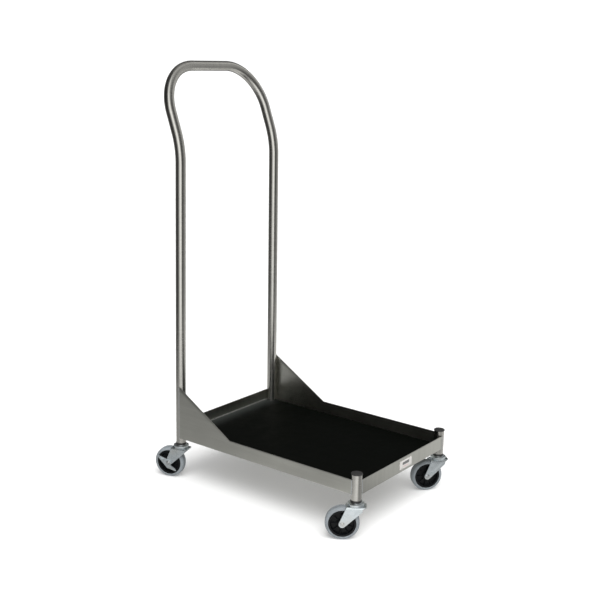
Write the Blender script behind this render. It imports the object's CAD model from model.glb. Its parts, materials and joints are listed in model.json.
"""Hotel luggage cart: a brushed steel tray with a rubber mat, a bent tube handle and four stem casters.

Every new piece is a surface worked out with numpy in metres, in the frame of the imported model.
"""
import json

import bmesh
import bpy
import numpy as np
from mathutils import Matrix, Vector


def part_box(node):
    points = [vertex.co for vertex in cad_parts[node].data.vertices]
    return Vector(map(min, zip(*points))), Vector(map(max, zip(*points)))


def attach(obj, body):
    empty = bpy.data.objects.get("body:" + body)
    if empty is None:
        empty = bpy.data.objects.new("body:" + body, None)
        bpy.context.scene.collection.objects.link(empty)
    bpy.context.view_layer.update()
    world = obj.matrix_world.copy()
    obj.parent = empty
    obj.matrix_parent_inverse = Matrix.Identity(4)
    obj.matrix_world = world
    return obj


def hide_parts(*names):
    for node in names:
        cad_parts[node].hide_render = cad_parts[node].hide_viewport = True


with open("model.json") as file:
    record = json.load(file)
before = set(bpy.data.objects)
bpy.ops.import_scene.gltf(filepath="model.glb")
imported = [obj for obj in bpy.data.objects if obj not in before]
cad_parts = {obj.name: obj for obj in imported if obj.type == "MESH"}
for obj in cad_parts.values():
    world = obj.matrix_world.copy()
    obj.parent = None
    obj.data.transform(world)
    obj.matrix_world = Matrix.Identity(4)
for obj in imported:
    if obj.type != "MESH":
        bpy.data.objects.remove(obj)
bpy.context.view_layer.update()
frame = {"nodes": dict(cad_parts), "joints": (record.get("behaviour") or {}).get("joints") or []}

MM = 0.001

# ---- sizes of the finished pieces --------------------------------------------------------------------
SHEET = 1.5 * MM
BEND = 2.5 * MM
GUSSET_RUN = 190.0 * MM
GUSSET_RISE = 102.5 * MM
WALL_HEIGHT = 36.5 * MM
WALL_END = 6.29 * MM
NOTCH_GAP = 0.3 * MM
TUBE_RADIUS = 12.7 * MM
TUBE_BORE = 11.2 * MM
HANDLE_BEND_RADIUS = 218.0 * MM
HANDLE_CORNER_RADIUS = 116.0 * MM
HANDLE_SLANT = 206.0 * MM
HANDLE_LEAN = np.radians(20.2)
HANDLE_TOE_IN = 5.0 * MM
HANDLE_TOE_START = 15.0 * MM
HANDLE_TOE_RADIUS = 1500.0 * MM
WELD_RADIUS = 1.0 * MM
WELD_PITCH = 2.4 * MM
WHEEL_RADIUS = 40.0 * MM
WHEEL_HALF = 12.0 * MM
HUB_RADIUS = 32.25 * MM
BOSS_RADIUS = 11.0 * MM
BOSS_HALF = 12.7 * MM
HUB_BORE = 6.1 * MM
HUB_RIBS = 9
LEG_OUTER = 15.5 * MM
FORK_SHEET = 2.3 * MM
FORK_BEND = 5.0 * MM
FORK_TIP = 8.0 * MM
CROWN_FRONT = 24.5 * MM
CROWN_BACK = 22.0 * MM
CROWN_CORNER = 9.0 * MM
AXLE_RADIUS = 4.0 * MM
LEVER_INNER = 15.8 * MM
LEVER_SHEET = 2.0 * MM
FACE_GAP = 0.3 * MM
STEM_HOLE = 5.05 * MM
BOW = 0.414
CASTERS = ("front_left", "front_right", "rear_left", "rear_right")
BRAKED = ("rear_left", "rear_right")


def corners(node):
    """Lowest and highest corner of a CAD node as arrays."""
    low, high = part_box(node)
    return np.array(low), np.array(high)


TRAY_LOW, TRAY_HIGH = corners("tray_pan")
TRAY_MIDDLE = (TRAY_LOW + TRAY_HIGH) / 2
HALF_WIDTH, HALF_LENGTH = (TRAY_HIGH - TRAY_LOW)[:2] / 2
TRAY_Z = TRAY_LOW[2]
POST_X = HALF_WIDTH - TUBE_RADIUS
POST_Y = HALF_LENGTH - TUBE_RADIUS
LIP_Z = TRAY_Z + WALL_HEIGHT
HANDLE_LOW, HANDLE_HIGH = corners("handle_tube")
JOINTS = {joint["name"]: joint for joint in frame["joints"]}


# ---- meshes from arrays ------------------------------------------------------------------------------
def piece(name, points, quads, body, material, uv=None, sharp=35, weld=True):
    """Make one named piece from an array of points and an array of quads, riding on a body."""
    mesh = bpy.data.meshes.new(name)
    mesh.from_pydata(points.reshape(-1, 3).tolist(), [], quads.tolist())
    if uv is not None:
        layer = mesh.uv_layers.new(name="surface")
        layer.data.foreach_set("uv", uv.reshape(-1, 2)[quads.ravel()].astype(np.float32).ravel())
    edit = bmesh.new()
    edit.from_mesh(mesh)
    if weld:
        bmesh.ops.remove_doubles(edit, verts=edit.verts, dist=0.002 * MM)
    bmesh.ops.dissolve_degenerate(edit, edges=edit.edges, dist=0.001 * MM)
    bmesh.ops.recalc_face_normals(edit, faces=edit.faces)
    edit.to_mesh(mesh)
    edit.free()
    mesh.polygons.foreach_set("use_smooth", np.ones(len(mesh.polygons), bool))
    mesh.set_sharp_from_angle(angle=np.radians(sharp))
    mesh.materials.append(material)
    thing = bpy.data.objects.new(name, mesh)
    bpy.context.collection.objects.link(thing)
    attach(thing, body)
    return thing


def grid_quads(rows, columns, round_columns=False, round_rows=False):
    """Quads of a grid of rows by columns, each way open or closed on itself."""
    row = np.arange(rows if round_rows else rows - 1)[:, None]
    column = np.arange(columns if round_columns else columns - 1)[None, :]
    next_row, next_column = (row + 1) % rows, (column + 1) % columns
    quads = [row * columns + column, row * columns + next_column]
    quads += [next_row * columns + next_column, next_row * columns + column]
    return np.stack(np.broadcast_arrays(*quads), -1).reshape(-1, 4)


def turn(profile, steps):
    """Carry a (radius, height) profile round the Z axis: (r cos t, r sin t, h)."""
    profile = np.asarray(profile, float)
    angle = np.linspace(0, 2 * np.pi, steps, endpoint=False)
    radius, height = profile[:, :1], profile[:, 1:]
    shape = (radius * np.cos(angle), radius * np.sin(angle), height + 0 * angle)
    return np.stack(shape, -1), grid_quads(len(profile), steps, round_columns=True)


def soften(profile, radius, steps=4):
    """Round the inner corners of an open profile, each by a parabola that ends where an arc would.

    An arc of the radius ends at radius / tan(half the corner) from it, or nearer where a side is short.
    The curve's middle lies BOW of the way from the corner to the middle between its start and its stop.
    """
    profile = np.asarray(profile, float)
    before, corner, after = profile[:-2], profile[1:-1], profile[2:]
    back, ahead = before - corner, after - corner
    back_length = np.linalg.norm(back, axis=1, keepdims=True)
    ahead_length = np.linalg.norm(ahead, axis=1, keepdims=True)
    back, ahead = back / back_length, ahead / ahead_length
    half = np.arccos(np.clip((back * ahead).sum(1, keepdims=True), -1, 1)) / 2
    room = np.minimum(back_length, ahead_length) * 0.45
    run = np.minimum(np.asarray(radius) / np.tan(np.clip(half, 0.05, None)), room)
    start, stop = corner + back * run, corner + ahead * run
    t = np.linspace(0, 1, steps)[None, :, None]
    middle = (start + stop) / 2
    bow = corner + BOW * (middle - corner)
    arc = start[:, None] * (1 - t) ** 2 + stop[:, None] * t**2
    arc = arc + 2 * t * (1 - t) * (2 * bow - middle)[:, None]
    return np.concatenate([profile[:1], arc.reshape(-1, 2), profile[-1:]])


def upright(points):
    """Lay a turned shape's own Z axis along a caster's side axis, +Y."""
    return np.stack([points[..., 0], points[..., 2], -points[..., 1]], -1)


def hull_outline(circles, centre, steps):
    """The hull of circles seen from a centre: the least support distance over the cosine, at each angle."""
    circles = np.asarray(circles, float)
    facing = np.linspace(0, 2 * np.pi, 720, endpoint=False)
    normal = np.stack([np.cos(facing), np.sin(facing)])
    support = ((circles[:, :2] - centre) @ normal + circles[:, 2:]).max(0)
    angle = np.linspace(0, 2 * np.pi, steps, endpoint=False)
    cosine = np.cos(angle[:, None] - facing[None, :])
    reach = np.where(cosine > 0.02, support / np.maximum(cosine, 0.02), 1e9)
    return angle, reach.min(1)


def slab(outline, hole, thickness, edge):
    """A flat plate between a hole and an outline, with rounded edges, its faces at 0 and at the thickness."""
    turn_in = np.linspace(0, np.pi / 2, 4)
    inset = np.concatenate([edge * (1 - np.sin(turn_in)), edge * (1 - np.sin(turn_in[::-1]))])
    rise = np.concatenate([edge * (1 - np.cos(turn_in)), thickness - edge * (1 - np.cos(turn_in[::-1]))])
    middle = outline.mean(0)
    outward = outline - middle
    outward = outward / np.linalg.norm(outward, axis=1, keepdims=True)
    rim = outline[None] - outward[None] * inset[:, None, None]
    flat = hole[None] * np.ones((2, 1, 1))
    plan = np.concatenate([flat[:1], rim, flat[1:]])
    height = np.concatenate([[0], rise, [thickness]])[:, None, None] * np.ones((1, len(outline), 1))
    points = np.concatenate([plan, height], -1)
    return points, grid_quads(len(points), len(outline), round_columns=True, round_rows=True)


def join(*surfaces):
    """Several (points, quads) as one."""
    points, quads, count = [], [], 0
    for shape_points, shape_quads in surfaces:
        flat = shape_points.reshape(-1, 3)
        points.append(flat)
        quads.append(shape_quads + count)
        count += len(flat)
    return np.concatenate(points), np.concatenate(quads)


# ---- shader groups -----------------------------------------------------------------------------------
class Tree:
    """A node tree written as calls: each value is a number, a colour or another node's output."""

    def __init__(self, tree):
        self.tree = tree

    def add(self, kind, inputs=None, out=0, **settings):
        """One node with its inputs and settings; returns the output asked for."""
        node = self.tree.nodes.new(kind)
        for key, value in settings.items():
            setattr(node, key, value)
        self.fill(node, inputs)
        return node.outputs[out] if len(node.outputs) else None

    def fill(self, node, inputs):
        """Set or link a node's inputs, by number or by name."""
        for key, value in (inputs or {}).items():
            if isinstance(value, bpy.types.NodeSocket):
                self.tree.links.new(value, node.inputs[key])
            else:
                node.inputs[key].default_value = value

    def math(self, operation, a, b, clamp=False):
        """One step of arithmetic."""
        return self.add("ShaderNodeMath", {0: a, 1: b}, operation=operation, use_clamp=clamp)

    def ramp(self, value, low, high, to_low=0.0, to_high=1.0):
        """A value between two limits carried over to two others, held past both."""
        inputs = {"Value": value, "From Min": low, "From Max": high, "To Min": to_low, "To Max": to_high}
        return self.add("ShaderNodeMapRange", inputs)

    def noise(self, vector, scale, detail=3.0, rough=0.5):
        """Cloudy noise as a value round the middle."""
        inputs = {"Vector": vector, "Scale": scale, "Detail": detail, "Roughness": rough}
        return self.add("ShaderNodeTexNoise", inputs)

    def mix(self, factor, a, b, blend="MIX"):
        """Two colours mixed by a factor."""
        inputs = {0: factor, 6: a, 7: b}
        return self.add("ShaderNodeMix", inputs, out=2, data_type="RGBA", blend_type=blend)

    def stretch(self, vector, scale):
        """A vector with each axis scaled."""
        return self.add("ShaderNodeMapping", {"Vector": vector, "Scale": scale})

    def place(self):
        """The piece's own coordinates."""
        return self.add("ShaderNodeTexCoord", out=3)

    def group(self, name, inputs=None, out=0):
        """One of the shader groups, with its inputs and its output by name."""
        node = self.tree.nodes.new("ShaderNodeGroup")
        node.node_tree = GROUPS[name]
        self.fill(node, inputs)
        return node.outputs[out]


GROUPS = {}


def new_group(name, inputs, outputs):
    """An empty shader group with named sockets; returns its tree, its input node and its output node."""
    tree = bpy.data.node_groups.new(name, "ShaderNodeTree")
    for label, kind, value in inputs:
        socket = tree.interface.new_socket(label, in_out="INPUT", socket_type=kind)
        socket.default_value = value
    for label, kind in outputs:
        tree.interface.new_socket(label, in_out="OUTPUT", socket_type=kind)
    source, sink = tree.nodes.new("NodeGroupInput"), tree.nodes.new("NodeGroupOutput")
    GROUPS[name] = tree
    return Tree(tree), source.outputs, sink.inputs


def send(t, value, socket):
    """Link a node's output to a socket."""
    t.tree.links.new(value, socket)


FLOAT, VECTOR = "NodeSocketFloat", "NodeSocketVector"


def make_brush_group():
    """Fine streaks that run along the vector's Y, with broader bands: a mask and a height."""
    inputs = [("Vector", VECTOR, (0, 0, 0)), ("Fineness", FLOAT, 2600.0), ("Length", FLOAT, 45.0)]
    t, source, sink = new_group("brushed_grain", inputs, [("Streaks", FLOAT), ("Bands", FLOAT)])
    scale = t.add("ShaderNodeCombineXYZ", {0: source["Fineness"], 1: source["Length"], 2: source["Fineness"]})
    fine = t.noise(t.stretch(source["Vector"], scale), 1.0, 4.0, 0.65)
    broad_scale = t.add("ShaderNodeVectorMath", {0: scale, 1: (0.045, 0.12, 0.045)}, operation="MULTIPLY")
    broad = t.noise(t.stretch(source["Vector"], broad_scale), 1.0, 3.0, 0.55)
    send(t, fine, sink["Streaks"])
    send(t, broad, sink["Bands"])


def make_edge_group():
    """Where the surface turns within a small radius: 1 on worn edges, broken up by noise."""
    inputs = [("Width", FLOAT, 0.001), ("Breakup", FLOAT, 300.0)]
    t, source, sink = new_group("edge_wear", inputs, [("Mask", FLOAT)])
    rounded = t.add("ShaderNodeBevel", {"Radius": source["Width"]}, samples=6)
    straight = t.add("ShaderNodeNewGeometry", out=1)
    same = t.add("ShaderNodeVectorMath", {0: rounded, 1: straight}, out=1, operation="DOT_PRODUCT")
    turned = t.ramp(same, 0.995, 0.86)
    patch = t.ramp(t.noise(t.place(), source["Breakup"], 3.0, 0.6), 0.35, 0.62)
    send(t, t.math("MULTIPLY", turned, patch, clamp=True), sink["Mask"])


def make_dust_group():
    """Dust that settles on faces that look up, in soft patches."""
    inputs = [("Amount", FLOAT, 0.2), ("Patch", FLOAT, 14.0), ("Speck", FLOAT, 900.0)]
    t, source, sink = new_group("settled_dust", inputs, [("Mask", FLOAT)])
    normal = t.add("ShaderNodeNewGeometry", out=1)
    up = t.ramp(t.add("ShaderNodeSeparateXYZ", {0: normal}, out=2), 0.2, 0.95)
    patch = t.ramp(t.noise(t.place(), source["Patch"], 4.0, 0.6), 0.35, 0.75)
    speck = t.ramp(t.noise(t.place(), source["Speck"], 2.0, 0.5), 0.45, 0.7, 0.25, 1.0)
    amount = t.math("MULTIPLY", t.math("MULTIPLY", up, patch), t.math("MULTIPLY", speck, source["Amount"]))
    send(t, amount, sink["Mask"])


def make_smudge_group():
    """Soft clouds of handling marks: a value round the middle and thin hairline scratches."""
    inputs = [("Size", FLOAT, 16.0), ("Scratch", FLOAT, 140.0)]
    t, source, sink = new_group("handling_marks", inputs, [("Clouds", FLOAT), ("Scratches", FLOAT)])
    cloud = t.noise(t.place(), source["Size"], 5.0, 0.6)
    warp = t.add("ShaderNodeTexNoise", {"Vector": t.place(), "Scale": 22.0, "Detail": 2.0}, out=1)
    waver = {0: warp, 1: (0.03, 0.03, 0.03), 2: t.place()}
    bent = t.add("ShaderNodeVectorMath", waver, operation="MULTIPLY_ADD")
    cells = {"Vector": bent, "Scale": source["Scratch"]}
    edge = t.add("ShaderNodeTexVoronoi", cells, feature="DISTANCE_TO_EDGE")
    line = t.ramp(edge, 0.012, 0.0)
    rare = t.ramp(t.noise(t.place(), 35.0, 2.0, 0.5), 0.58, 0.66)
    send(t, cloud, sink["Clouds"])
    send(t, t.math("MULTIPLY", line, rare), sink["Scratches"])


def make_moulded_group():
    """The fine pebble of moulded rubber and plastic as a height."""
    inputs = [("Grain", FLOAT, 1500.0), ("Softness", FLOAT, 0.5)]
    t, source, sink = new_group("moulded_grain", inputs, [("Height", FLOAT)])
    pattern = {"Vector": t.place(), "Scale": source["Grain"]}
    cells = t.add("ShaderNodeTexVoronoi", pattern, feature="SMOOTH_F1")
    noise = t.noise(t.place(), source["Grain"], 3.0, 0.6)
    mixed = t.add("ShaderNodeMix", {0: source["Softness"], 2: cells, 3: noise}, data_type="FLOAT")
    send(t, mixed, sink["Height"])


for make in (make_brush_group, make_edge_group, make_dust_group, make_smudge_group, make_moulded_group):
    make()


# ---- materials ---------------------------------------------------------------------------------------
def new_material(name, constants):
    """A material with a Principled shader whose constant sockets are set by name."""
    material = bpy.data.materials.new(name)
    material.use_nodes = True
    shader = material.node_tree.nodes["Principled BSDF"]
    for key, value in constants.items():
        shader.inputs[key].default_value = value
    return material, Tree(material.node_tree), shader.inputs


def bump(t, height, distance, strength):
    """A normal bumped by a height, with the depth in metres that a height of one stands for."""
    return t.add("ShaderNodeBump", {"Height": height, "Distance": distance, "Strength": strength})


def brushed_steel(name, tint, dark_tint, roughness, anisotropy):
    """Stainless steel with a directional satin finish, handling marks, hairlines and brighter worn edges."""
    material, t, shader = new_material(name, {"Metallic": 1.0, "Anisotropic": anisotropy})
    vector = t.add("ShaderNodeUVMap", uv_map="surface")
    streaks = t.group("brushed_grain", {"Vector": vector})
    bands = t.group("brushed_grain", {"Vector": vector}, out="Bands")
    clouds = t.group("handling_marks", {"Size": 7.0})
    scratches = t.group("handling_marks", {"Scratch": 60.0}, out="Scratches")
    worn = t.group("edge_wear", {"Width": 0.0012})
    tone = t.math("ADD", t.math("MULTIPLY", streaks, 0.5), t.math("MULTIPLY", bands, 0.5))
    color = t.mix(t.ramp(tone, 0.3, 0.7), (*dark_tint, 1), (*tint, 1))
    color = t.mix(t.math("MULTIPLY", worn, 0.35), color, (0.78, 0.77, 0.74, 1))
    send(t, color, shader["Base Color"])
    rough = t.ramp(clouds, 0.3, 0.7, roughness - 0.05, roughness + 0.06)
    rough = t.math("ADD", rough, t.ramp(streaks, 0.3, 0.7, -0.04, 0.04))
    rough = t.math("SUBTRACT", rough, t.math("MULTIPLY", worn, 0.08), clamp=True)
    send(t, rough, shader["Roughness"])
    depth = t.math("SUBTRACT", t.math("MULTIPLY", streaks, 0.6), t.math("MULTIPLY", scratches, 0.8))
    send(t, bump(t, depth, 0.00002, 0.5), shader["Normal"])
    send(t, t.add("ShaderNodeTangent", direction_type="UV_MAP", uv_map="surface"), shader["Tangent"])
    return material


def bright_zinc(name, tint, shade, roughness, cloud_size=60.0):
    """Blue-white zinc plate: soft crystalline clouds, faint drips of a warmer tone and rubbed edges."""
    material, t, shader = new_material(name, {"Metallic": 1.0})
    clouds = t.group("handling_marks", {"Size": cloud_size})
    scratches = t.group("handling_marks", {"Scratch": 180.0}, out="Scratches")
    worn = t.group("edge_wear", {"Width": 0.0008, "Breakup": 500.0})
    dust = t.group("settled_dust", {"Amount": 0.25, "Patch": 60.0})
    color = t.mix(t.ramp(clouds, 0.3, 0.7), (*shade, 1), (*tint, 1))
    warm = t.ramp(t.noise(t.place(), 35.0, 2.0), 0.5, 0.75, 0.0, 0.35)
    color = t.mix(warm, color, (0.62, 0.60, 0.52, 1))
    color = t.mix(t.math("MULTIPLY", worn, 0.5), color, (0.86, 0.88, 0.88, 1))
    color = t.mix(dust, color, (0.30, 0.28, 0.25, 1))
    send(t, color, shader["Base Color"])
    rough = t.ramp(clouds, 0.25, 0.75, roughness - 0.07, roughness + 0.1)
    send(t, t.math("ADD", rough, dust, clamp=True), shader["Roughness"])
    grain = t.group("moulded_grain", {"Grain": 2600.0, "Softness": 0.8})
    depth = t.math("SUBTRACT", t.math("MULTIPLY", grain, 0.4), scratches)
    send(t, bump(t, depth, 0.00003, 0.45), shader["Normal"])
    return material


def moulded(name, tint, worn_tint, roughness, grain, depth, specular, dusty, paler=None):
    """Moulded rubber or plastic: pebbled skin, uneven gloss, scuffed edges and a little dust."""
    material, t, shader = new_material(name, {"Specular IOR Level": specular})
    clouds = t.group("handling_marks", {"Size": 30.0})
    scratches = t.group("handling_marks", {"Scratch": 90.0}, out="Scratches")
    worn = t.group("edge_wear", {"Width": 0.0009, "Breakup": 700.0})
    dust = t.group("settled_dust", {"Amount": dusty, "Patch": 18.0})
    dark = tuple(0.8 * channel for channel in tint)
    color = t.mix(t.ramp(clouds, 0.35, 0.65), (*dark, 1), (*tint, 1))
    rubbed = t.math("ADD", t.math("MULTIPLY", worn, 0.6), t.math("MULTIPLY", scratches, 0.25), clamp=True)
    color = t.mix(rubbed, color, (*worn_tint, 1))
    color = t.mix(dust, color, (0.35, 0.33, 0.30, 1))
    if paler:
        color = paler(t, color)
    send(t, color, shader["Base Color"])
    rough = t.ramp(clouds, 0.3, 0.7, roughness - 0.06, roughness + 0.07)
    send(t, t.math("ADD", rough, t.math("MULTIPLY", dust, 0.4), clamp=True), shader["Roughness"])
    height = t.group("moulded_grain", {"Grain": grain, "Softness": 0.5})
    height = t.math("SUBTRACT", height, t.math("MULTIPLY", scratches, 0.6))
    send(t, bump(t, height, depth, 0.6), shader["Normal"])
    return material


def mat_rear(t, color):
    """The mat's bloom: paler towards its raised rear edge, with a rubbed line along the edge itself."""
    bloom, rubbed = (0.034, 0.037, 0.035, 1), (0.15, 0.15, 0.14, 1)
    edge = corners("deck_mat")[1][1] - 2 * MM
    place = t.add("ShaderNodeSeparateXYZ", {0: t.place()}, out=1)
    near = t.ramp(place, edge - 53 * MM, edge)
    color = t.mix(t.math("MULTIPLY", near, near), color, bloom)
    return t.mix(t.ramp(place, edge - 3 * MM, edge, 0.0, 0.8), color, rubbed)


TRAY_STEEL = brushed_steel("brushed_tray_steel", (0.60, 0.60, 0.555), (0.50, 0.50, 0.46), 0.33, 0.5)
TUBE_STEEL = brushed_steel("satin_tube_steel", (0.63, 0.62, 0.585), (0.54, 0.53, 0.50), 0.24, 0.74)
ZINC = bright_zinc("bright_zinc_plate", (0.76, 0.81, 0.84), (0.62, 0.68, 0.71), 0.27)
BOLT_STEEL = bright_zinc("bolt_steel", (0.66, 0.68, 0.69), (0.52, 0.54, 0.55), 0.30, 200.0)
# Each moulded finish: tint, rubbed tint, roughness, pebble scale, pebble depth, specular level and dust.
MAT_RUBBER = moulded(
    "mat_rubber", (0.0015, 0.0019, 0.0014), (0.006, 0.006, 0.006), 0.55, 900.0, 0.00012, 0.07, 0.001, mat_rear
)
CAP_PLASTIC = moulded(
    "cap_plastic", (0.028, 0.028, 0.028), (0.09, 0.09, 0.09), 0.40, 1700.0, 0.00003, 0.5, 0.05
)
HUB_NYLON = moulded(
    "hub_nylon", (0.004, 0.005, 0.006), (0.02, 0.02, 0.02), 0.42, 1400.0, 0.00003, 0.2, 0.01
)
TYRE_RUBBER = moulded(
    "grey_tyre_rubber", (0.25, 0.275, 0.295), (0.36, 0.37, 0.37), 0.58, 1200.0, 0.00004, 0.4, 0.1
)


def plate_finish():
    """A plain pale plate with a grey blank field and a thin warm line, in its own coordinates."""
    material, t, shader = new_material("plain_plate", {"Roughness": 0.4, "Specular IOR Level": 0.4})
    low, high = corners("maker_plate")
    place = t.add("ShaderNodeSeparateXYZ", {0: t.place()})
    up = t.add("ShaderNodeSeparateXYZ", {0: t.place()}, out=2)
    across = t.ramp(place, low[0], high[0])
    height = t.ramp(up, low[2], high[2])

    def band(value, start, stop, soft=0.02):
        rising = t.ramp(value, start, start + soft)
        return t.math("MULTIPLY", rising, t.ramp(value, stop, stop - soft))

    field = t.math("MULTIPLY", band(height, 0.44, 0.80), band(across, 0.22, 0.80))
    line = t.math("MULTIPLY", band(height, 0.20, 0.30), band(across, 0.30, 0.72))
    fleck = t.ramp(t.noise(t.place(), 400.0, 3.0), 0.35, 0.65, 0.92, 1.0)
    color = t.mix(t.math("MULTIPLY", field, 0.85), (0.60, 0.58, 0.56, 1), (0.07, 0.07, 0.075, 1))
    color = t.mix(t.math("MULTIPLY", line, 0.6), color, (0.62, 0.30, 0.30, 1))
    color = t.mix(1.0, color, t.add("ShaderNodeCombineXYZ", {0: fleck, 1: fleck, 2: fleck}), "MULTIPLY")
    send(t, color, shader["Base Color"])
    send(t, bump(t, t.group("moulded_grain", {"Grain": 1200.0}), 0.00002, 0.3), shader["Normal"])
    return material


PLATE = plate_finish()


# ---- tray --------------------------------------------------------------------------------------------
def folded(along, half):
    """Fold a flat coordinate up at a wall: straight, then a quarter bend, then straight up."""
    flat = half - BEND
    beyond = np.abs(along) - flat
    angle = np.clip(beyond / BEND, 0, np.pi / 2)
    over = np.clip(beyond - BEND * np.pi / 2, 0, None)
    place = np.where(beyond < 0, np.abs(along), flat + BEND * np.sin(angle))
    bend_rise = np.where(beyond < 0, 0, BEND * (1 - np.cos(angle)))
    return np.sign(along) * place, bend_rise, over


def sheet_lines(half, notch, extra=()):
    """Grid lines across the flat sheet: wide in the middle, close at the notches and the bends."""
    flat = half - BEND
    top = flat + BEND * np.pi / 2 + WALL_HEIGHT - BEND
    reach = TUBE_RADIUS + NOTCH_GAP
    inner = np.linspace(0, notch - 2 * reach, 12)
    near = np.linspace(notch - 2 * reach, notch - reach / 2, 8)[1:]
    close = np.linspace(notch - reach / 2, notch, 6)[1:]
    to_bend = np.linspace(notch, flat, 7)[1:]
    bend = flat + BEND * np.linspace(0, np.pi / 2, 8)[1:]
    wall = np.linspace(bend[-1], top, 12)[1:]
    lines = np.concatenate([inner, near, close, to_bend, bend, wall, extra])
    lines = np.unique(np.round(lines, 6))
    return np.concatenate([-lines[:0:-1], lines])


def notch_out(x, y, post_x, post_y, reach):
    """Push points of a plate that lie inside a tube's clearance out to its circle."""
    away_x, away_y = np.abs(x) - post_x, np.abs(y) - post_y
    distance = np.hypot(away_x, away_y)
    inside = distance < reach
    grow = np.where(inside, reach / np.maximum(distance, 1e-6), 1)
    return np.sign(x) * (post_x + away_x * grow), np.sign(y) * (post_y + away_y * grow), inside


def make_tray():
    """One flat sheet on a grid, folded up at four bends; the side walls rise to gussets along a slope."""
    notch_x, notch_y = POST_X - WALL_END, POST_Y - WALL_END
    gusset_y = HALF_LENGTH - GUSSET_RUN
    a, b = np.meshgrid(sheet_lines(HALF_WIDTH, notch_x), sheet_lines(HALF_LENGTH, notch_y, [gusset_y]))
    x, rise_a, over_a = folded(a, HALF_WIDTH)
    y, rise_b, over_b = folded(b, HALF_LENGTH)
    slope = np.clip((b - gusset_y) / (notch_y - gusset_y), 0, 1)
    over_a = over_a * (1 + slope * GUSSET_RISE / (WALL_HEIGHT - BEND))
    on_floor = (rise_a == 0) & (rise_b == 0)
    moved_x, moved_y, inside = notch_out(x, y, POST_X, POST_Y, TUBE_RADIUS + NOTCH_GAP)
    inside &= on_floor
    x, y = np.where(inside, moved_x, x), np.where(inside, moved_y, y)
    z = TRAY_Z + rise_a + over_a + rise_b + over_b
    points = np.stack([x + TRAY_MIDDLE[0], y + TRAY_MIDDLE[1], z], -1)
    flat_a = np.sign(a) * (np.minimum(np.abs(a), HALF_WIDTH - BEND + BEND * np.pi / 2) + over_a)
    uv = np.stack([flat_a, b], -1)

    quads = grid_quads(*a.shape)
    middle_a = np.abs(a.ravel()[quads]).mean(1)
    middle_b = np.abs(b.ravel()[quads]).mean(1)
    cut = (middle_a > notch_x) & (middle_b > notch_y) | inside.ravel()[quads].all(1)
    tray = piece("tray_sheet", points, quads[~cut], "frame", TRAY_STEEL, uv, weld=False)
    face_way(tray, -1)
    thicken(tray, SHEET, 0.35 * MM)
    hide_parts("tray_pan")
    return tray


def face_way(thing, way):
    """Drop a sheet's loose points and turn its faces up (1) or down (-1), by the sum of their areas."""
    shape = bmesh.new()
    shape.from_mesh(thing.data)
    loose = [vertex for vertex in shape.verts if not vertex.link_faces]
    bmesh.ops.delete(shape, geom=loose, context="VERTS")
    if way * sum(face.normal.z * face.calc_area() for face in shape.faces) < 0:
        bmesh.ops.reverse_faces(shape, faces=shape.faces)
    shape.to_mesh(thing.data)
    shape.free()


def thicken(thing, thickness, edge):
    """Give a sheet its wall, inwards, and round its cut edges."""
    wall = thing.modifiers.new("wall", "SOLIDIFY")
    wall.thickness = thickness
    wall.offset = -1
    wall.use_even_offset = True
    rim = thing.modifiers.new("rim", "BEVEL")
    rim.width = edge
    rim.segments = 2
    rim.limit_method = "ANGLE"
    rim.angle_limit = np.radians(50)


def make_mat():
    """A rubber slab, its corners cut round the tubes, its top barely uneven, its rear edge riding up."""
    low, high = corners("deck_mat")
    half_x, half_y = (high - low)[:2] / 2
    notch_x, notch_y = POST_X - WALL_END, POST_Y - WALL_END
    reach = TUBE_RADIUS + NOTCH_GAP + 0.5 * MM
    uneven, sunk = 0.07 * MM, 0.12 * MM
    rear_rise, rear_run = 3.5 * MM, 40 * MM

    def lines(half, notch):
        inner = np.linspace(0, notch - 2 * reach, 40)
        near = np.linspace(notch - 2 * reach, notch, 18)[1:]
        edge = np.linspace(notch, half, 8)[1:]
        line = np.concatenate([inner, near, edge])
        return np.concatenate([-line[:0:-1], line])

    a, b = np.meshgrid(lines(half_x, notch_x), lines(half_y, notch_y))
    x, y, inside = notch_out(a, b, POST_X, POST_Y, reach)
    wave = np.sin(31 * a + 2) * np.cos(23 * b) + 0.6 * np.sin(57 * b + 19 * a)
    lift = np.clip((b - half_y) / rear_run + 1, 0, 1) ** 2
    z = high[2] - sunk + uneven * wave + rear_rise * lift
    points = np.stack([x + TRAY_MIDDLE[0], y + TRAY_MIDDLE[1], z], -1)
    quads = grid_quads(*a.shape)
    middle_a, middle_b = np.abs(a.ravel()[quads]).mean(1), np.abs(b.ravel()[quads]).mean(1)
    cut = (middle_a > notch_x) & (middle_b > notch_y) | inside.ravel()[quads].all(1)
    mat = piece("rubber_mat", points, quads[~cut], "frame", MAT_RUBBER, weld=False)
    face_way(mat, 1)
    thicken(mat, high[2] - low[2] - 0.2 * MM, 0.7 * MM)
    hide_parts("deck_mat")
    return mat


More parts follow.
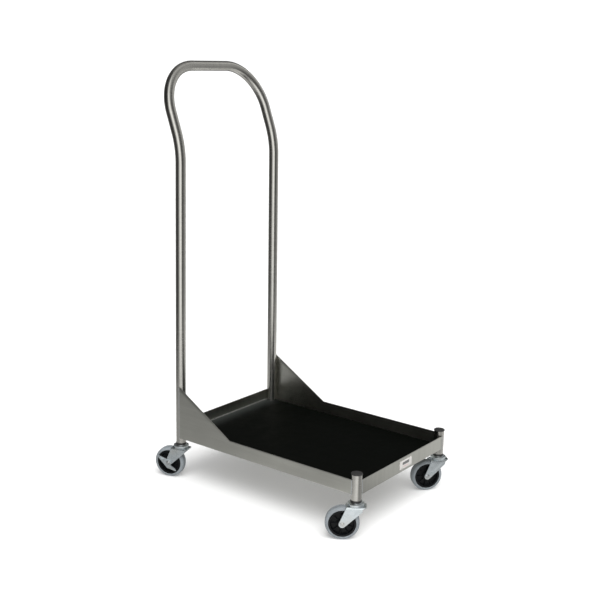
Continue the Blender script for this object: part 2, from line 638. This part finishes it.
# ---- tubes -------------------------------------------------------------------------------------------
def rounded_line(route, radii, step):
    """Straight runs joined by tangent arcs: points and tangents along the route, about a step apart.

    At each corner the arc of radius r starts and ends r tan(turn / 2) from it, and at angle a along the arc
    the point is start + r (sin a * t + (1 - cos a) * n), with t the way in and n square to it.
    """
    route = np.asarray(route, float)
    ways = np.diff(route, axis=0)
    lengths = np.linalg.norm(ways, axis=1, keepdims=True)
    ways = ways / lengths
    points, tangents, last = [], [], route[0]
    for corner, way_in, way_out, radius in zip(route[1:-1], ways[:-1], ways[1:], radii):
        turned = np.arccos(np.clip(way_in @ way_out, -1, 1))
        side = way_out - (way_out @ way_in) * way_in
        side = side / np.linalg.norm(side)
        start = corner - way_in * radius * np.tan(turned / 2)
        run = np.linalg.norm(start - last)
        along = np.linspace(0, run, max(int(run / step), 2), endpoint=False)[:, None]
        points.append(last + along * way_in)
        tangents.append(way_in + 0 * along)
        angle = np.linspace(0, turned, max(int(radius * turned / step), 4), endpoint=False)[:, None]
        points.append(start + radius * (np.sin(angle) * way_in + (1 - np.cos(angle)) * side))
        tangents.append(np.cos(angle) * way_in + np.sin(angle) * side)
        last = corner + way_out * radius * np.tan(turned / 2)
    along = np.linspace(0, 1, max(int(np.linalg.norm(route[-1] - last) / step), 2))[:, None]
    points.append(last + along * (route[-1] - last))
    tangents.append(ways[-1] + 0 * along)
    return np.concatenate(points), np.concatenate(tangents)


def handle_line():
    """The handle's centre line about the tray's middle: legs drawn in above the gussets, lean and arch."""
    top_x, top_z = POST_X - HANDLE_TOE_IN, HANDLE_HIGH[2] - TUBE_RADIUS
    top_y = POST_Y + HANDLE_SLANT * np.sin(HANDLE_LEAN)
    bend_z = top_z - HANDLE_SLANT * np.cos(HANDLE_LEAN)
    toe_z = LIP_Z + GUSSET_RISE + HANDLE_TOE_START
    half = [
        (POST_X, POST_Y, HANDLE_LOW[2]),
        (POST_X, POST_Y, toe_z),
        (top_x, POST_Y, bend_z),
        (top_x, top_y, top_z),
    ]
    route = [(-x, y, z) for x, y, z in half] + half[::-1]
    radii = [HANDLE_TOE_RADIUS, HANDLE_BEND_RADIUS, HANDLE_CORNER_RADIUS]
    return rounded_line(route, radii + radii[::-1], 3.0 * MM)


def tube_ends(stations):
    """Radius and station index pairs that close a tube: a bore at each end, a rounded rim and the outside."""
    depth = 12
    rim = 0.4 * MM
    start = [(depth, 0.0), (depth, TUBE_BORE), (0, TUBE_BORE), (0, TUBE_RADIUS - rim)]
    outside = [(index, TUBE_RADIUS) for index in range(stations)]
    last = stations - 1
    stop = [(last, TUBE_RADIUS - rim), (last, TUBE_BORE), (last - depth, TUBE_BORE), (last - depth, 0.0)]
    table = np.array(start + outside + stop)
    return table[:, 0].astype(int), table[:, 1]


def make_handle():
    """A circle carried along the handle's line, square to its tangent; the polishing runs round the tube."""
    steps = 48
    points, tangent = handle_line()
    distance = np.concatenate([[0], np.cumsum(np.linalg.norm(np.diff(points, axis=0), axis=1))])
    index, radius = tube_ends(len(points))
    normal = np.array([0, 1.0, 0]) - tangent[:, 1:2] * tangent
    normal = (normal / np.linalg.norm(normal, axis=1, keepdims=True))[index]
    side = np.cross(tangent[index], normal)
    angle = np.linspace(0, 2 * np.pi, steps)
    ring = normal[:, None] * np.cos(angle)[:, None] + side[:, None] * np.sin(angle)[:, None]
    skin = points[index][:, None] + radius[:, None, None] * ring + [TRAY_MIDDLE[0], TRAY_MIDDLE[1], 0]
    around = np.broadcast_to(angle * TUBE_RADIUS, skin.shape[:2])
    along = np.broadcast_to(distance[index][:, None], skin.shape[:2])
    uv = np.stack([along, around], -1)
    tube = piece("bent_handle", skin, grid_quads(*skin.shape[:2]), "frame", TUBE_STEEL, uv)
    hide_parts("handle_tube")
    return tube


def make_post(word):
    """A short upright tube: the closed profile of its wall, turned."""
    node = f"front_{word}_post"
    low, high = corners(node)
    rim = 0.3 * MM
    height = high[2] - low[2]
    profile = [
        (TUBE_BORE, 0.0),
        (TUBE_RADIUS - rim, 0.0),
        (TUBE_RADIUS, rim),
        (TUBE_RADIUS, height / 2),
        (TUBE_RADIUS, height - rim),
        (TUBE_RADIUS - rim, height),
        (TUBE_BORE, height),
        (TUBE_BORE, 0.0),
    ]
    steps = 64
    angle = np.linspace(0, 2 * np.pi, steps)
    profile = np.array(profile)
    ring = np.stack([np.cos(angle), np.sin(angle)], -1)
    level = np.broadcast_to(profile[:, None, 1:], (len(profile), steps, 1))
    points = np.concatenate([profile[:, None, :1] * ring[None], level], -1)
    uv = np.stack(np.broadcast_arrays(profile[:, 1:], angle[None] * TUBE_RADIUS), -1)
    points = points + np.array([*((low + high)[:2] / 2), low[2]])
    quads = grid_quads(len(profile), steps)
    tube = piece(f"{node}_tube", points, quads, "frame", TUBE_STEEL, uv)
    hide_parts(node)
    return tube


def make_post_cap(word):
    """A push-in cap: a low dome with a soft rim over the tube's end, turned."""
    node = f"front_{word}_post_cap"
    low, high = corners(node)
    rim = (high[0] - low[0]) / 2
    top = high[2] - low[2]
    under = top - 3.4 * MM
    spigot, hollow, roof = TUBE_BORE - 0.1 * MM, TUBE_BORE - 3 * MM, under - 1 * MM
    dome = np.linspace(0, 1, 10)
    crown = np.stack([(rim - 2.2 * MM) * dome, top - 0.5 * MM * dome**2], -1)
    rest = [
        (rim - 0.5 * MM, top - 1.0 * MM),
        (rim, top - 1.8 * MM),
        (rim, under + 0.3 * MM),
        (rim - 0.3 * MM, under),
        (spigot, under),
        (spigot, 0.6 * MM),
        (spigot - 0.7 * MM, 0.0),
        (hollow, 0.0),
        (hollow, roof),
        (0, roof),
    ]
    points, quads = turn(soften(np.concatenate([crown, rest]), 0.5 * MM), 64)
    points = points + np.array([*((low + high)[:2] / 2), low[2]])
    cap = piece(f"{node}_dome", points, quads, "frame", CAP_PLASTIC)
    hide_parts(node)
    return cap


def make_welds():
    """Beads in the corners between the walls' ends and the tubes: rippled rods tangent to both."""
    across = WALL_END - WELD_RADIUS
    sunk = 0.15 * MM
    out = np.sqrt((TUBE_RADIUS + WELD_RADIUS - sunk) ** 2 - across**2)
    rear_height = TRAY_HIGH[2] - TRAY_Z - 1 * MM
    beads = []
    for side in (-1, 1):
        for end in (-1, 1):
            for place, tall in (
                ((POST_X - across, POST_Y + out), WALL_HEIGHT),
                ((POST_X + out, POST_Y - across), WALL_HEIGHT if end < 0 else rear_height),
            ):
                height = np.linspace(0, tall, int(tall / WELD_PITCH * 6))
                ripple = 1 + 0.10 * np.abs(np.sin(np.pi * height / WELD_PITCH))
                profile = np.stack([WELD_RADIUS * ripple * 0.9, height], -1)
                profile = np.concatenate([[[0, 0]], profile, [[0, tall]]])
                points, quads = turn(profile, 12)
                beads.append((points + [side * place[0], end * place[1], 0], quads))
    points, quads = join(*beads)
    points = points + [TRAY_MIDDLE[0], TRAY_MIDDLE[1], TRAY_Z]
    return piece("weld_seams", points, quads, "frame", BOLT_STEEL, sharp=60)


def make_plate():
    """A thin plate with rounded corners, the hull of four circles, its edge softened."""
    low, high = corners("maker_plate")
    half_width, half_height = (high[0] - low[0]) / 2, (high[2] - low[2]) / 2
    radius = 2.0 * MM
    spot_x, spot_z = half_width - radius, half_height - radius
    spots = [(i * spot_x, j * spot_z, radius) for i in (-1, 1) for j in (-1, 1)]
    angle, reach = hull_outline(spots, (0, 0), 240)
    outline = np.stack([reach * np.cos(angle), reach * np.sin(angle)], -1)
    points, quads = slab(outline, outline * 0.0, high[1] - low[1], 0.25 * MM)
    points = np.stack([points[..., 0], -points[..., 2], points[..., 1]], -1)
    points = points + [(low[0] + high[0]) / 2, high[1], (low[2] + high[2]) / 2]
    plate = piece("front_plate", points, quads, "frame", PLATE)
    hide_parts("maker_plate")
    return plate


# ---- casters -----------------------------------------------------------------------------------------
def caster_frame(name):
    """The swivel point on the floor, the trail direction and the side axis of a caster."""
    swivel = np.array(JOINTS[f"{name}_swivel"]["pos_m"])
    axle = np.array(JOINTS[f"{name}_spin"]["pos_m"])
    trail = axle - swivel
    trail[2] = 0
    length = np.linalg.norm(trail)
    side = np.array(JOINTS[f"{name}_spin"]["axis"])
    return np.array([swivel[0], swivel[1], 0.0]), trail / length, side, length, axle[2]


def set_down(points, name):
    """Put caster coordinates (behind the swivel axis, to its side, up) into the cart's frame."""
    origin, trail, side, _, _ = caster_frame(name)
    axes = np.stack([trail, side, np.array([0.0, 0, 1])])
    return points.reshape(-1, 3) @ axes + origin


def on_axle(points, name):
    """Move a shape from the wheel's centre to the caster's own coordinates."""
    _, _, _, length, height = caster_frame(name)
    return points + [length, 0, height]


def caster_piece(name, part, points, quads, body, material, node, sharp=35, weld=True):
    """Make one piece of a caster from its own coordinates, in place of the caster's CAD node."""
    placed = set_down(points, name)
    thing = piece(f"{name}_{part}", placed, quads, body, material, sharp=sharp, weld=weld)
    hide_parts(f"{name}_{node}")
    return thing


def crown_levels(name):
    """Heights of the crown's top, the lower race's top, the upper race's and the tube's bottom."""
    fork_top = corners(f"{name}_fork")[1][2]
    lower_top = corners(f"{name}_lower_race")[1][2]
    upper_low, upper_high = corners(f"{name}_upper_race")
    return fork_top, lower_top, upper_low[2], upper_high[2]


def make_races(name):
    """The two pressed race pans and the plug's flange, each a softened profile turned about the stem."""
    fork_top, lower_top, upper_low, upper_top = crown_levels(name)
    stem = STEM_HOLE
    lower_radius, upper_radius = 18.5 * MM, 19.5 * MM
    roof = upper_low + 2.0 * MM
    lower = [
        (stem, fork_top),
        (lower_radius, fork_top),
        (lower_radius, lower_top),
        (upper_radius - 6 * MM, lower_top),
        (stem, lower_top),
        (stem, fork_top),
    ]
    points, quads = turn(soften(lower, 0.5 * MM), 96)
    caster_piece(name, "race_pan", points, quads, f"{name}_fork", ZINC, "lower_race")
    upper = [
        (stem, roof),
        (upper_radius - 1.4 * MM, roof),
        (upper_radius - 1.2 * MM, upper_low),
        (upper_radius, upper_low),
        (upper_radius, upper_top - 2.4 * MM),
        (upper_radius - 2.2 * MM, upper_top - 1.4 * MM),
        (14.6 * MM, upper_top - 0.9 * MM),
        (14.0 * MM, upper_top),
        (stem, upper_top),
        (stem, roof),
    ]
    points, quads = turn(soften(upper, 0.5 * MM), 96)
    caster_piece(name, "race_cover", points, quads, "frame", ZINC, "upper_race")


def make_plug(name):
    """The plug: a flange with a soft rim and two fine ridges, and a sleeve up the tube."""
    low, high = corners(f"{name}_stem_plug")
    flange = 5.3 * MM
    rim, top = (high[0] - low[0]) / 2, high[2] - low[2]
    sleeve = TUBE_BORE - 0.05 * MM
    profile = [
        (STEM_HOLE, 0),
        (rim - 0.2 * MM, 0),
        (rim, 1.2 * MM),
        (rim - 0.5 * MM, flange / 2),
        (rim, flange - 1.2 * MM),
        (rim - 0.3 * MM, flange),
        (sleeve, flange),
        (sleeve, top - 1 * MM),
        (sleeve - 1.45 * MM, top),
        (STEM_HOLE, top),
        (STEM_HOLE, 0),
    ]
    points, quads = turn(soften(profile, 0.4 * MM), 72)
    points = points + [0, 0, low[2]]
    caster_piece(name, "plug_sleeve", points, quads, "frame", CAP_PLASTIC, "stem_plug")


def tangent_edge(point, centre, radius, front):
    """Where the straight edge from a point touches the foot's circle, on its front or back side."""
    away = np.array(point) - np.array(centre)
    distance = np.linalg.norm(away)
    turn_off = np.arccos(radius / distance)
    heading = np.arctan2(away[1], away[0]) + (turn_off if front else -turn_off)
    return np.array(centre) + radius * np.array([np.cos(heading), np.sin(heading)])


def leg_edge(height, point, centre, front):
    """The leg's front or back edge at each height: a straight line down to the foot's circle."""
    touch = tangent_edge(point, centre, FORK_TIP, front)
    line = np.interp(height, [touch[1], point[1]], [touch[0], point[0]])
    drop = np.clip(np.abs(height - centre[1]), 0, FORK_TIP)
    circle = centre[0] + (-1 if front else 1) * np.sqrt(FORK_TIP**2 - drop**2)
    return np.where(height >= touch[1], line, circle)


def make_fork(name):
    """A strip bent over the wheel: leg, bend, crown, bend and leg across it, front to back edge along it."""
    fork_top = crown_levels(name)[0]
    _, _, _, trail, axle_z = caster_frame(name)
    flat = LEG_OUTER - FORK_BEND
    bend = FORK_BEND * np.pi / 2
    foot = axle_z - FORK_TIP
    drop = fork_top - FORK_BEND - foot
    round_foot = 1 - np.cos(np.linspace(0, np.pi / 2, 12))
    leg_stops = flat + bend + drop - FORK_TIP * round_foot[::-1]
    leg = np.concatenate([np.linspace(flat + bend, leg_stops[0], 26)[:-1], leg_stops])
    half = np.concatenate([np.linspace(0, flat, 8), flat + np.linspace(0, bend, 10)[1:-1], leg])
    across = np.concatenate([-half[:0:-1], half])
    beyond = np.abs(across) - flat
    angle = np.clip(beyond / FORK_BEND, 0, np.pi / 2)
    y = np.sign(across) * np.where(beyond < 0, np.abs(across), flat + FORK_BEND * np.sin(angle))
    z = fork_top - FORK_BEND * (1 - np.cos(angle)) * (beyond > 0) - np.clip(beyond - bend, 0, None)

    crown_under = fork_top - FORK_SHEET
    centre = (trail, axle_z)
    front = leg_edge(np.minimum(z, crown_under), (-CROWN_FRONT, crown_under), centre, True)
    back = leg_edge(np.minimum(z, crown_under), (CROWN_BACK, crown_under), centre, False)
    off_corner = np.clip(np.abs(y) - (LEG_OUTER - CROWN_CORNER), 0, CROWN_CORNER)
    plan_front = -CROWN_FRONT + CROWN_CORNER - np.sqrt(CROWN_CORNER**2 - off_corner**2)
    front = np.maximum(front, plan_front)
    t = np.linspace(0, 1, 25)
    x = front[:, None] + (back - front)[:, None] * t
    y, z = (np.broadcast_to(v[:, None], x.shape).copy() for v in (y, z))

    rib_foot, rib_length, rib_height = 13 * MM, 24 * MM, 0.8 * MM
    ridge_foot, ridge_fade, ridge_height = 8 * MM, 10 * MM, 0.25 * MM
    level = np.clip((z - axle_z - rib_foot) / rib_length, 0, 1)
    across_leg = (t[None] - 0.5) * 2
    rib = np.exp(-((across_leg / 0.42) ** 4)) * np.sin(np.pi * level) ** 0.5
    ridge_level = np.clip((z - axle_z - ridge_foot) / ridge_fade, 0, 1)
    ridge = np.exp(-(((np.abs(across_leg) - 0.9) / 0.12) ** 2)) * ridge_level
    on_leg = np.abs(y) > LEG_OUTER - 0.1 * MM
    y = y + np.sign(y) * np.where(on_leg, rib_height * rib + ridge_height * ridge, 0)
    points = np.stack([x, y, z], -1)
    quads = grid_quads(*x.shape)
    body = f"{name}_fork"
    fork = caster_piece(name, "pressed_fork", points, quads, body, ZINC, "fork", 50, False)
    face_way(fork, 1)
    thicken(fork, FORK_SHEET, 0.45 * MM)
    return fork


def make_tyre(name):
    """A solid grey tyre: flat sides with a moulded step, rounded shoulders and a fine parting line."""
    shoulder = 7.0 * MM
    seat = HUB_RADIUS + 0.05 * MM
    arc = np.linspace(0, np.pi / 2, 16)
    side = [(seat, 0.0), (seat, WHEEL_HALF - 0.8 * MM), (seat + 0.5 * MM, WHEEL_HALF - 0.25 * MM)]
    side += [(seat + 0.9 * MM, WHEEL_HALF - 0.25 * MM), (seat + 1.2 * MM, WHEEL_HALF)]
    corner_r, corner_h = WHEEL_RADIUS - shoulder, WHEEL_HALF - shoulder
    curve = np.stack([corner_r + shoulder * np.sin(arc), corner_h + shoulder * np.cos(arc)], -1)
    groove = WHEEL_RADIUS - 0.12 * MM
    parting = [(WHEEL_RADIUS, 0.5 * MM), (groove, 0.3 * MM), (groove, 0.0)]
    half = np.concatenate([side, curve[1:], parting])
    profile = np.concatenate([half, half[-2::-1] * [1, -1]])
    points, quads = turn(profile, 160)
    points = on_axle(upright(points), name)
    caster_piece(name, "tread_ring", points, quads, f"{name}_wheel", TYRE_RUBBER, "tyre")


def make_hub(name):
    """A nylon hub: a height over radius and angle, with a rim, a sunk web, radial ribs and a boss."""
    steps = 288
    angle = np.linspace(0, 2 * np.pi, steps, endpoint=False)[None]
    radius = np.concatenate(
        [
            np.linspace(HUB_BORE, BOSS_RADIUS - 0.5 * MM, 4),
            [BOSS_RADIUS, BOSS_RADIUS + 0.8 * MM, BOSS_RADIUS + 2 * MM],
            np.linspace(14, 26, 12) * MM,
            [26.8 * MM, 27.3 * MM, 27.8 * MM, 28.6 * MM, 31.7 * MM, HUB_RADIUS],
        ]
    )[:, None]
    section = [
        (HUB_BORE, BOSS_HALF),
        (10.4 * MM, BOSS_HALF),
        (11.0 * MM, BOSS_HALF - 0.6 * MM),
        (13.0 * MM, 4.6 * MM),
        (26.4 * MM, 4.2 * MM),
        (27.7 * MM, 11.3 * MM),
        (31.7 * MM, 11.5 * MM),
        (HUB_RADIUS, 11.0 * MM),
    ]
    base = np.interp(radius, *np.transpose(section))
    offset = (angle * HUB_RIBS / (2 * np.pi) + 0.5) % 1 - 0.5
    distance = np.abs(offset) * 2 * np.pi / HUB_RIBS * radius
    rib_half, rib_fade, rib_top = 1.1 * MM, 0.18 * MM, 9.2 * MM
    rib = 1 / (1 + np.exp((distance - rib_half) / rib_fade))
    in_web = np.clip((radius - 12.0 * MM) / MM, 0, 1) * np.clip((27.4 * MM - radius) / MM, 0, 1)
    height = base + rib * in_web * np.clip(rib_top - base, 0, None)
    face = np.stack([radius * np.cos(angle), radius * np.sin(angle), height], -1)
    other = face[::-1] * [1, 1, -1]
    points = np.concatenate([face, other])
    quads = grid_quads(len(points), steps, round_columns=True, round_rows=True)
    points = on_axle(upright(points), name)
    caster_piece(name, "nylon_hub", points, quads, f"{name}_wheel", HUB_NYLON, "wheel_hub", 40)


def make_bolt(name):
    """The axle bolt: a low domed head with a dimple, and a rolled thread of sharp rings."""
    seat = LEVER_INNER + LEVER_SHEET + FACE_GAP if name in BRAKED else LEG_OUTER
    head = 5.5 * MM
    tail = -(LEG_OUTER + 6.5 * MM)
    dome = np.linspace(0, 1, 8)
    crown = np.stack([head * 0.86 * dome, seat + 1.8 * MM - 0.9 * MM * dome**2], -1)
    crown[0:2, 1] -= 0.5 * MM
    thread = np.arange(tail + 1 * MM, -LEG_OUTER, 0.5 * MM)
    groove = np.where(np.arange(len(thread)) % 2, AXLE_RADIUS - 0.45 * MM, AXLE_RADIUS - 0.02 * MM)
    shank = np.stack([groove, thread], -1)[::-1]
    under_head = [(head, seat + 0.5 * MM), (head, seat), (AXLE_RADIUS, seat)]
    tip = [(3 * MM, tail), (0, tail)]
    points, quads = turn(np.concatenate([crown, under_head, shank, tip]), 48)
    points = on_axle(upright(points), name)
    caster_piece(name, "domed_bolt", points, quads, f"{name}_fork", BOLT_STEEL, "axle_bolt", 40)


def make_nut(name):
    """The bolt's nut: a hexagon's reach at each angle, limited at each level by its chamfers."""
    steps = 96
    flats = 6.5 * MM
    angle = np.linspace(0, 2 * np.pi, steps, endpoint=False)
    sector = (angle + np.pi / 6) % (np.pi / 3) - np.pi / 6
    hexagon = flats / np.cos(sector)
    tall = 5.0 * MM
    rows = np.array([0, 0, 0.5, tall / MM / 2, tall / MM - 0.5, tall / MM, tall / MM]) * MM
    face, chamfer = flats * 0.97, flats * 1.1
    limit = np.array([AXLE_RADIUS, face, chamfer, flats * 1.3, chamfer, face, AXLE_RADIUS])
    reach = np.minimum(hexagon[None], limit[:, None])
    level = np.broadcast_to(rows[:, None], reach.shape)
    points = np.stack([reach * np.cos(angle), reach * np.sin(angle), level], -1)
    points = on_axle(upright(points - [0, 0, LEG_OUTER + tall]), name)
    quads = grid_quads(len(rows), steps, round_columns=True, round_rows=True)
    caster_piece(name, "hex_nut", points, quads, f"{name}_fork", BOLT_STEEL, "axle_nut", 25)


def make_lever(name):
    """The side brake lever: a plate whose outline is two hulls of circles, with a turned-out pedal edge."""
    centre = np.array([0, -6.0 * MM])
    eye, pedal, elbow = (0, 0, 8.5), (29, 16, 2.0), (0, -9.5, 5.5)
    root, tip = (-6, -12, 4.0), (-20, -18, 2.2)
    steps = 240
    angle, arm = hull_outline(np.array([eye, pedal, elbow]) * MM, centre, steps)
    angle, finger = hull_outline(np.array([elbow, root, tip]) * MM, centre, steps)
    reach = np.maximum(arm, finger)
    compass = np.stack([np.cos(angle), np.sin(angle)], -1)
    outline = centre + reach[:, None] * compass
    hole = (AXLE_RADIUS + 0.05 * MM) * compass
    plate = slab(outline, hole, LEVER_SHEET, 0.5 * MM)

    direction = np.array(pedal[:2]) / np.hypot(*pedal[:2])
    length, depth, thick = 17.0 * MM, 6.0 * MM, 2.0 * MM
    spots = [(i * (length / 2 - thick / 2), 0, thick / 2) for i in (-1, 1)]
    turn_angle, shelf_reach = hull_outline(spots, (0, 0), 96)
    shelf = np.stack([shelf_reach * np.cos(turn_angle), shelf_reach * np.sin(turn_angle)], -1)
    across = np.array([-direction[1], direction[0]])
    middle = np.array(pedal[:2]) * MM - direction * length / 2 + across * thick / 2
    shelf = middle + shelf[:, :1] * direction + shelf[:, 1:] * across
    flange = slab(shelf, np.broadcast_to(shelf.mean(0), shelf.shape), depth, 0.5 * MM)
    points, quads = join(plate, flange)
    points = np.stack([points[:, 0], LEVER_INNER + points[:, 2], points[:, 1]], -1)
    points = on_axle(points, name)
    caster_piece(name, "side_lever", points, quads, f"{name}_brake", ZINC, "brake_lever", 45)


def finish_hidden(name):
    """Give the caster's inner CAD pieces their metal."""
    for part in ("stem", "race_balls", "axle_sleeve"):
        node = frame["nodes"][f"{name}_{part}"]
        node.data.materials.clear()
        node.data.materials.append(BOLT_STEEL)


make_tray()
make_mat()
make_handle()
make_welds()
make_plate()
for word in ("left", "right"):
    make_post(word)
    make_post_cap(word)
for caster in CASTERS:
    make_races(caster)
    make_plug(caster)
    make_fork(caster)
    make_tyre(caster)
    make_hub(caster)
    make_bolt(caster)
    make_nut(caster)
    finish_hidden(caster)
for caster in BRAKED:
    make_lever(caster)


# ---- studio ------------------------------------------------------------------------------------------
CAMERA_FROM_TRAY = np.array([-1.9885, -1.4799, 1.0770])
CAMERA_YAW, CAMERA_PITCH, CAMERA_ROLL = np.radians([-52.64, 13.40, 1.20])
LENS = 61.34
FLOOR_HALF = 60.0
KEY_HEADING = -143.3
BACKDROP_STRENGTH = 1.1
# The blue of the studio's walls as a share of their red and green.
STUDIO_BLUE = 0.985
# Each light's name, heading, height, strength and breadth, with the angles in degrees.
SUNS = (("overhead", 240, 64, 1.75, 52), ("ceiling", 0, 90, 0.95, 120), ("key", 217, 55, 0.7, 40))
FLOOR_GLOW = 0.18
FLOOR_NEAR = (0.9, 1.5)
FLOOR_PAINT = 0.80
FLOOR_MIRRORED = 0.16
# Brightness of the near floor in the metal, by heading in degrees from the key panel's own.
FLOOR_RING = (
    (-170, 0.62), (-145, 0.42), (-120, 0.30), (-90, 0.21), (-68, 0.22), (-60, 0.30), (-50, 0.38),
    (-34, 0.30), (-14, 0.40), (2, 0.66), (20, 0.72), (27, 0.45), (34, 0.12), (58, 0.14), (72, 0.36),
    (95, 0.54), (115, 0.58), (138, 0.80), (160, 0.68),
)


def make_camera():
    """Stand the camera by yaw, pitch and roll about the tray's middle."""
    forward = np.array(
        [
            -np.sin(CAMERA_YAW) * np.cos(CAMERA_PITCH),
            np.cos(CAMERA_YAW) * np.cos(CAMERA_PITCH),
            -np.sin(CAMERA_PITCH),
        ]
    )
    level = np.array([np.cos(CAMERA_YAW), np.sin(CAMERA_YAW), 0])
    up = np.cross(level, forward)
    right = np.cos(CAMERA_ROLL) * level + np.sin(CAMERA_ROLL) * up
    above = -np.sin(CAMERA_ROLL) * level + np.cos(CAMERA_ROLL) * up
    matrix = np.eye(4)
    matrix[:3, :3] = np.stack([right, above, -forward], 1)
    matrix[:3, 3] = CAMERA_FROM_TRAY + [TRAY_MIDDLE[0], TRAY_MIDDLE[1], 0]
    data = bpy.data.cameras.new("camera")
    data.lens = LENS
    camera = bpy.data.objects.new("camera", data)
    bpy.context.collection.objects.link(camera)
    camera.matrix_world = Matrix(matrix.tolist())
    bpy.context.scene.camera = camera


def make_floor():
    """A wide pale floor, clear from below; the metal mirrors only its near part, lit by its own ring."""
    corner = np.array([(-1, -1, 0), (1, -1, 0), (1, 1, 0), (-1, 1, 0)]) * [FLOOR_HALF, FLOOR_HALF, 0]
    mesh = bpy.data.meshes.new("floor")
    mesh.from_pydata(corner.tolist(), [], [(0, 1, 2, 3)])
    material, t, shader = new_material("floor_paint", {"Roughness": 0.9, "Specular IOR Level": 0.0})
    shader["Emission Strength"].default_value = 1.0
    place = t.place()
    distance = t.add("ShaderNodeVectorMath", {0: place}, out=1, operation="LENGTH")
    parts = t.add("ShaderNodeSeparateXYZ", {0: place}).node.outputs
    ring = studio_ring(t, turn_share(t, parts), FLOOR_RING)
    glossy = t.add("ShaderNodeLightPath", out=3)
    paint, mirrored, glow = ((grey, grey, grey, 1) for grey in (FLOOR_PAINT, FLOOR_MIRRORED, FLOOR_GLOW))
    send(t, t.mix(glossy, paint, mirrored), shader["Base Color"])
    send(t, t.mix(glossy, glow, ring), shader["Emission Color"])
    away = t.math("MULTIPLY", glossy, t.ramp(distance, *FLOOR_NEAR))
    below = t.add("ShaderNodeNewGeometry", out=6)
    send(t, t.math("SUBTRACT", 1.0, t.math("MAXIMUM", away, below)), shader["Alpha"])
    mesh.materials.append(material)
    floor = bpy.data.objects.new("floor", mesh)
    bpy.context.collection.objects.link(floor)


def make_sun(name, heading, height, strength, angle):
    """A broad even light from a heading and a height in degrees, which the metal doesn't mirror."""
    data = bpy.data.lights.new(name, "SUN")
    data.energy = strength
    data.angle = np.radians(angle)
    light = bpy.data.objects.new(name, data)
    bpy.context.collection.objects.link(light)
    light.rotation_euler = (np.radians(90 - height), 0, np.radians(heading + 90))
    light.visible_glossy = False


def make_world():
    """A white backdrop to look at, and for light and reflections a ring of bright and dark studio walls."""
    world = bpy.data.worlds.new("studio")
    bpy.context.scene.world = world
    world.use_nodes = True
    tree = world.node_tree
    tree.nodes.clear()
    t = Tree(tree)
    direction = t.add("ShaderNodeTexCoord")
    parts = tree.nodes.new("ShaderNodeSeparateXYZ")
    tree.links.new(direction, parts.inputs[0])
    share = turn_share(t, parts.outputs)
    color = studio_ring(t, share, RINGS[0][1])
    for (lower, _), (upper, levels) in zip(RINGS, RINGS[1:]):
        height = t.ramp(parts.outputs[2], *np.sin(np.radians([lower, upper])))
        color = t.mix(height, color, studio_ring(t, share, levels))
    seen = t.add("ShaderNodeLightPath", out=0)
    studio = t.add("ShaderNodeBackground", {0: color, 1: 1.0})
    backdrop = t.add("ShaderNodeBackground", {0: (1, 1, 1, 1), 1: BACKDROP_STRENGTH})
    mixed = t.add("ShaderNodeMixShader", {0: seen, 1: studio, 2: backdrop})
    t.add("ShaderNodeOutputWorld", {0: mixed})


def turn_share(t, parts):
    """The heading of a direction as a share of the full turn, from the sockets of its X and Y."""
    angle = t.math("ARCTAN2", parts[1], parts[0])
    return t.math("FRACT", t.math("ADD", t.math("DIVIDE", angle, 2 * np.pi), 1.0), 0.0)


def studio_ring(t, share, levels):
    """A ramp round the horizon whose stops stand at headings in degrees from the key panel's own."""
    ring = t.tree.nodes.new("ShaderNodeValToRGB")
    t.tree.links.new(share, ring.inputs[0])
    offsets, values = np.array(levels).T
    places = ((KEY_HEADING + offsets) / 360) % 1
    order = np.argsort(places)
    places, values = places[order], values[order]
    wrap = np.interp(1, [places[-1], places[0] + 1], [values[-1], values[0]])
    for place, value in zip(places, values):
        stop = ring.color_ramp.elements.new(place)
        stop.color = (value, value, value * STUDIO_BLUE, 1)
    for end in (ring.color_ramp.elements[0], ring.color_ramp.elements[-1]):
        end.color = (wrap, wrap, wrap * STUDIO_BLUE, 1)
    return ring.outputs[0]


# Brightness of the studio round the cart: for each height in degrees, by heading in degrees from the key
# panel's own. The broad key panel is at 0, a paler wall is behind the cart, and the sides are dark.
RINGS = (
    (
        -13,
        (
            (-170, 0.15), (-145, 0.45), (-125, 0.22), (-100, 0.07), (-60, 0.07), (-42, 0.16),
            (-30, 0.50), (-10, 0.95), (5, 1.35), (20, 1.45), (27, 0.75), (33, 0.11), (70, 0.10),
            (90, 0.26), (110, 0.34), (122, 0.50), (138, 0.80), (158, 0.20),
        ),
    ),
    (
        12,
        (
            (-170, 0.05), (-148, 0.20), (-128, 0.10), (-100, 0.02), (-60, 0.03), (-40, 0.12),
            (-30, 0.60), (-18, 1.35), (-5, 1.65), (8, 1.25), (20, 0.70), (30, 0.06), (60, 0.10),
            (80, 0.28), (95, 0.45), (110, 0.38), (124, 0.65), (140, 0.75), (156, 0.08),
        ),
    ),
    (
        38,
        (
            (-165, 0.10), (-145, 0.14), (-128, 0.03), (-55, 0.02), (-40, 0.09), (-28, 0.40),
            (-14, 1.15), (0, 1.50), (12, 1.10), (25, 0.50), (40, 0.20), (65, 0.06), (97, 0.10),
            (108, 0.50), (122, 0.75), (136, 0.60), (150, 0.08), (172, 0.08),
        ),
    ),
    (
        68,
        (
            (-170, 0.30), (-140, 0.06), (-80, 0.06), (-40, 0.30), (-15, 1.10), (10, 1.25), (35, 0.65),
            (70, 0.36), (110, 0.66), (135, 0.42), (165, 0.30),
        ),
    ),
)

make_camera()
make_floor()
for sun in SUNS:
    make_sun(*sun)
make_world()
bpy.context.scene.view_settings.view_transform = "Standard"
